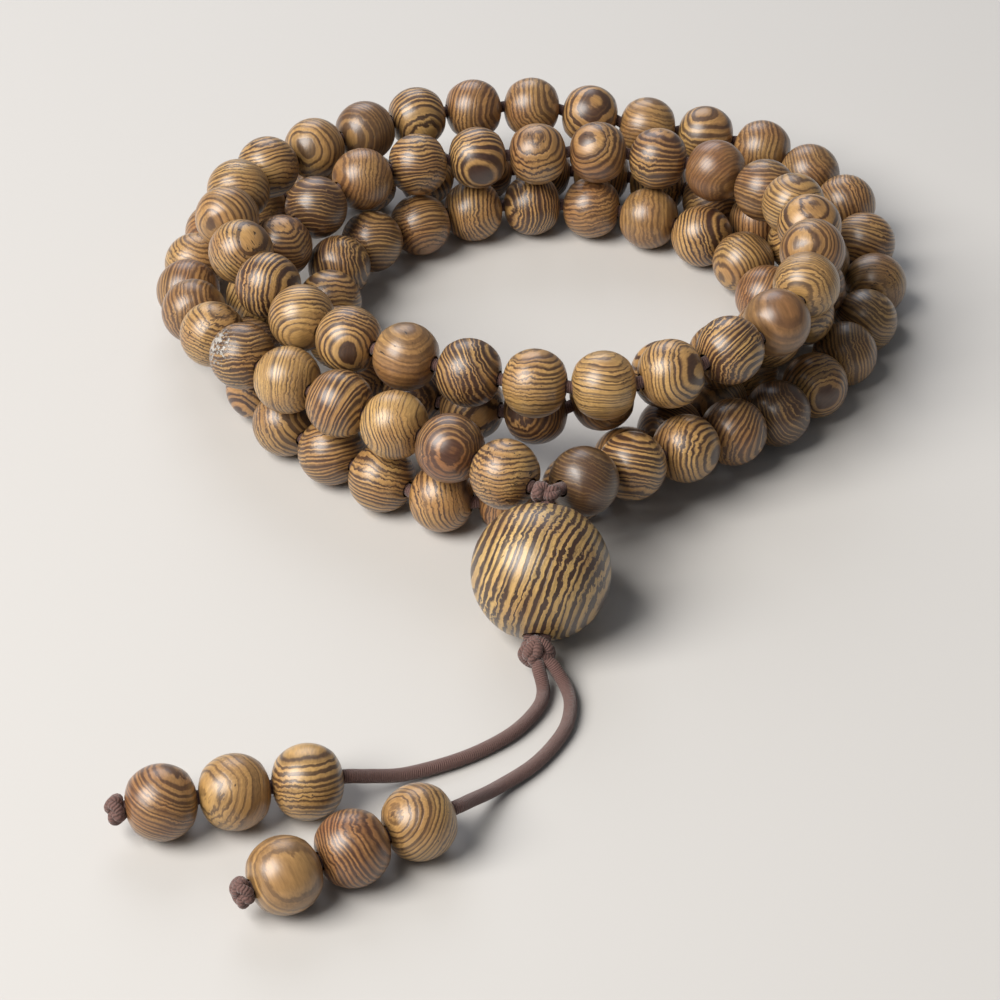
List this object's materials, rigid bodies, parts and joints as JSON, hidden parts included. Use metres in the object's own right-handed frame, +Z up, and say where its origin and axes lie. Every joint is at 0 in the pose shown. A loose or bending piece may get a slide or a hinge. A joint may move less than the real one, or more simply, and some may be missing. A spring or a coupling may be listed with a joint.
{
  "type": "mala prayer beads",
  "caption": "Wooden mala wound into a wrist-sized ring, with a large guru bead, knots and two short beaded tails on cord.",
  "frame": {"origin": "middle of the wound ring, on the plane the ring lies on", "axes": "+Z up out of the ring, -Y towards the guru bead and tails, +X to the right seen from the guru bead's side"},
  "size_m": [0.095, 0.1407, 0.0221],
  "materials": {
    "bead_wood": "satin, striped dark hardwood",
    "guru_wood": "satin, boldly striped hardwood",
    "cord": "matt braided thread"
  },
  "bodies": {
    "strand": {"strand_cord": "cord", "strand_beads_1_6": "bead_wood", "strand_beads_7_12": "bead_wood", "strand_beads_13_18": "bead_wood", "strand_beads_19_24": "bead_wood", "strand_beads_49_54": "bead_wood", "strand_beads_55_60": "bead_wood", "strand_beads_61_66": "bead_wood", "strand_beads_67_72": "bead_wood", "strand_beads_73_78": "bead_wood", "strand_beads_79_84": "bead_wood", "strand_beads_85_90": "bead_wood", "strand_beads_91_96": "bead_wood", "strand_beads_97_102": "bead_wood", "strand_beads_103_108": "bead_wood"},
    "upper_knot": {"upper_knot": "cord"},
    "guru_drop": {"guru_cord": "cord", "lower_knot": "cord"},
    "guru_bead": {"guru_bead": "guru_wood"},
    "left_tail": {"left_tail_cord": "cord", "left_end_knot": "cord"},
    "right_tail": {"right_tail_cord": "cord", "right_end_knot": "cord"},
    "left_tail_bead_1": {"left_tail_bead_1": "bead_wood"},
    "left_tail_bead_2": {"left_tail_bead_2": "bead_wood"},
    "left_tail_bead_3": {"left_tail_bead_3": "bead_wood"},
    "right_tail_bead_1": {"right_tail_bead_1": "bead_wood"},
    "right_tail_bead_2": {"right_tail_bead_2": "bead_wood"},
    "right_tail_bead_3": {"right_tail_bead_3": "bead_wood"},
    "strand_bead_25": {"strand_bead_25": "bead_wood"},
    "strand_bead_26": {"strand_bead_26": "bead_wood"},
    "strand_bead_27": {"strand_bead_27": "bead_wood"},
    "strand_bead_28": {"strand_bead_28": "bead_wood"},
    "strand_bead_29": {"strand_bead_29": "bead_wood"},
    "strand_bead_30": {"strand_bead_30": "bead_wood"},
    "strand_bead_31": {"strand_bead_31": "bead_wood"},
    "strand_bead_32": {"strand_bead_32": "bead_wood"},
    "strand_bead_33": {"strand_bead_33": "bead_wood"},
    "strand_bead_34": {"strand_bead_34": "bead_wood"},
    "strand_bead_35": {"strand_bead_35": "bead_wood"},
    "strand_bead_36": {"strand_bead_36": "bead_wood"},
    "strand_bead_37": {"strand_bead_37": "bead_wood"},
    "strand_bead_38": {"strand_bead_38": "bead_wood"},
    "strand_bead_39": {"strand_bead_39": "bead_wood"},
    "strand_bead_40": {"strand_bead_40": "bead_wood"},
    "strand_bead_41": {"strand_bead_41": "bead_wood"},
    "strand_bead_42": {"strand_bead_42": "bead_wood"},
    "strand_bead_43": {"strand_bead_43": "bead_wood"},
    "strand_bead_44": {"strand_bead_44": "bead_wood"},
    "strand_bead_45": {"strand_bead_45": "bead_wood"},
    "strand_bead_46": {"strand_bead_46": "bead_wood"},
    "strand_bead_47": {"strand_bead_47": "bead_wood"},
    "strand_bead_48": {"strand_bead_48": "bead_wood"}
  },
  "joints": [
    {"name": "guru_swing", "type": "hinge", "parent": "strand", "child": "upper_knot", "pos_m": [0.00003, -0.04463, 0.01273], "axis": [0, 0, 1], "range_deg": [-5, 20]},
    {"name": "guru_lift", "type": "hinge", "parent": "upper_knot", "child": "guru_drop", "pos_m": [0.00003, -0.04463, 0.01273], "axis": [-0.9976, 0.0698, 0], "range_deg": [0, 55]},
    {"name": "guru_spin", "type": "hinge", "parent": "guru_drop", "child": "guru_bead", "pos_m": [-0.0005, -0.0522, 0.0078], "axis": [0.0585, 0.8366, 0.5446], "continuous": true},
    {"name": "left_tail_swing", "type": "hinge", "parent": "guru_drop", "child": "left_tail", "pos_m": [-0.00103, -0.05973, 0.0029], "axis": [0, 0, 1], "range_deg": [-45, 3]},
    {"name": "right_tail_swing", "type": "hinge", "parent": "guru_drop", "child": "right_tail", "pos_m": [-0.00103, -0.05973, 0.0029], "axis": [0, 0, 1], "range_deg": [-3, 60]},
    {"name": "left_tail_bead_1_spin", "type": "hinge", "parent": "left_tail", "child": "left_tail_bead_1", "pos_m": [-0.0248, -0.0807, 0.004], "axis": [-0.9806, -0.1961, 0], "continuous": true},
    {"name": "left_tail_bead_2_spin", "type": "hinge", "parent": "left_tail", "child": "left_tail_bead_2", "pos_m": [-0.0322, -0.08218, 0.004], "axis": [-0.9806, -0.1961, 0], "continuous": true},
    {"name": "left_tail_bead_3_spin", "type": "hinge", "parent": "left_tail", "child": "left_tail_bead_3", "pos_m": [-0.03961, -0.08366, 0.004], "axis": [-0.9806, -0.1961, 0], "continuous": true},
    {"name": "right_tail_bead_1_spin", "type": "hinge", "parent": "right_tail", "child": "right_tail_bead_1", "pos_m": [-0.0132, -0.0864, 0.004], "axis": [-0.8762, -0.4819, 0], "continuous": true},
    {"name": "right_tail_bead_2_spin", "type": "hinge", "parent": "right_tail", "child": "right_tail_bead_2", "pos_m": [-0.01982, -0.09004, 0.004], "axis": [-0.8762, -0.4819, 0], "continuous": true},
    {"name": "right_tail_bead_3_spin", "type": "hinge", "parent": "right_tail", "child": "right_tail_bead_3", "pos_m": [-0.02643, -0.09368, 0.004], "axis": [-0.8762, -0.4819, 0], "continuous": true},
    {"name": "strand_bead_25_spin", "type": "hinge", "parent": "strand", "child": "strand_bead_25", "pos_m": [-0.03672, -0.00096, 0.01511], "axis": [0.3851, -0.9229, -0.0044], "continuous": true},
    {"name": "strand_bead_26_spin", "type": "hinge", "parent": "strand", "child": "strand_bead_26", "pos_m": [-0.03295, -0.0079, 0.01498], "axis": [0.5188, -0.8548, -0.0119], "continuous": true},
    {"name": "strand_bead_27_spin", "type": "hinge", "parent": "strand", "child": "strand_bead_27", "pos_m": [-0.02853, -0.01445, 0.01492], "axis": [0.6559, -0.7539, 0.0369], "continuous": true},
    {"name": "strand_bead_28_spin", "type": "hinge", "parent": "strand", "child": "strand_bead_28", "pos_m": [-0.02267, -0.01971, 0.01556], "axis": [0.8046, -0.5892, 0.0741], "continuous": true},
    {"name": "strand_bead_29_spin", "type": "hinge", "parent": "strand", "child": "strand_bead_29", "pos_m": [-0.01588, -0.02371, 0.01609], "axis": [0.8959, -0.4434, 0.0273], "continuous": true},
    {"name": "strand_bead_30_spin", "type": "hinge", "parent": "strand", "child": "strand_bead_30", "pos_m": [-0.00857, -0.02669, 0.01599], "axis": [0.9429, -0.333, 0.0054], "continuous": true},
    {"name": "strand_bead_31_spin", "type": "hinge", "parent": "strand", "child": "strand_bead_31", "pos_m": [-0.001, -0.02897, 0.01617], "axis": [0.9815, -0.1897, 0.0269], "continuous": true},
    {"name": "strand_bead_32_spin", "type": "hinge", "parent": "strand", "child": "strand_bead_32", "pos_m": [0.00686, -0.02967, 0.01642], "axis": [0.9973, 0.0579, 0.0453], "continuous": true},
    {"name": "strand_bead_33_spin", "type": "hinge", "parent": "strand", "child": "strand_bead_33", "pos_m": [0.01458, -0.02806, 0.01688], "axis": [0.9394, 0.3355, 0.0711], "continuous": true},
    {"name": "strand_bead_34_spin", "type": "hinge", "parent": "strand", "child": "strand_bead_34", "pos_m": [0.02156, -0.02442, 0.01753], "axis": [0.816, 0.5763, 0.044], "continuous": true},
    {"name": "strand_bead_35_spin", "type": "hinge", "parent": "strand", "child": "strand_bead_35", "pos_m": [0.02735, -0.01904, 0.01757], "axis": [0.6273, 0.7779, 0.0364], "continuous": true},
    {"name": "strand_bead_36_spin", "type": "hinge", "parent": "strand", "child": "strand_bead_36", "pos_m": [0.03137, -0.01226, 0.0181], "axis": [0.3498, 0.9368, 0.0036], "continuous": true},
    {"name": "strand_bead_37_spin", "type": "hinge", "parent": "strand", "child": "strand_bead_37", "pos_m": [0.03278, -0.0045, 0.01762], "axis": [0.1138, 0.985, -0.1298], "continuous": true},
    {"name": "strand_bead_38_spin", "type": "hinge", "parent": "strand", "child": "strand_bead_38", "pos_m": [0.03315, 0.00323, 0.01606], "axis": [-0.0518, 0.9748, -0.217], "continuous": true},
    {"name": "strand_bead_39_spin", "type": "hinge", "parent": "strand", "child": "strand_bead_39", "pos_m": [0.03196, 0.01082, 0.01421], "axis": [-0.2619, 0.9265, -0.2702], "continuous": true},
    {"name": "strand_bead_40_spin", "type": "hinge", "parent": "strand", "child": "strand_bead_40", "pos_m": [0.02905, 0.01776, 0.01182], "axis": [-0.589, 0.7886, -0.1768], "continuous": true},
    {"name": "strand_bead_41_spin", "type": "hinge", "parent": "strand", "child": "strand_bead_41", "pos_m": [0.023, 0.02283, 0.01152], "axis": [-0.8599, 0.5101, -0.0202], "continuous": true},
    {"name": "strand_bead_42_spin", "type": "hinge", "parent": "strand", "child": "strand_bead_42", "pos_m": [0.01564, 0.02571, 0.0115], "axis": [-0.9716, 0.2351, 0.028], "continuous": true},
    {"name": "strand_bead_43_spin", "type": "hinge", "parent": "strand", "child": "strand_bead_43", "pos_m": [0.0078, 0.0265, 0.01196], "axis": [-0.9992, 0.019, 0.0337], "continuous": true},
    {"name": "strand_bead_44_spin", "type": "hinge", "parent": "strand", "child": "strand_bead_44", "pos_m": [-0.00009, 0.02601, 0.01203], "axis": [-0.9963, -0.0863, 0.0038], "continuous": true},
    {"name": "strand_bead_45_spin", "type": "hinge", "parent": "strand", "child": "strand_bead_45", "pos_m": [-0.00794, 0.02514, 0.01202], "axis": [-0.9873, -0.1589, 0.0003], "continuous": true},
    {"name": "strand_bead_46_spin", "type": "hinge", "parent": "strand", "child": "strand_bead_46", "pos_m": [-0.01567, 0.0235, 0.01204], "axis": [-0.9442, -0.3294, 0.0022], "continuous": true},
    {"name": "strand_bead_47_spin", "type": "hinge", "parent": "strand", "child": "strand_bead_47", "pos_m": [-0.02274, 0.01998, 0.01205], "axis": [-0.8194, -0.5714, -0.0462], "continuous": true},
    {"name": "strand_bead_48_spin", "type": "hinge", "parent": "strand", "child": "strand_bead_48", "pos_m": [-0.02846, 0.01458, 0.01132], "axis": [-0.6325, -0.7606, -0.1466], "continuous": true}
  ]
}
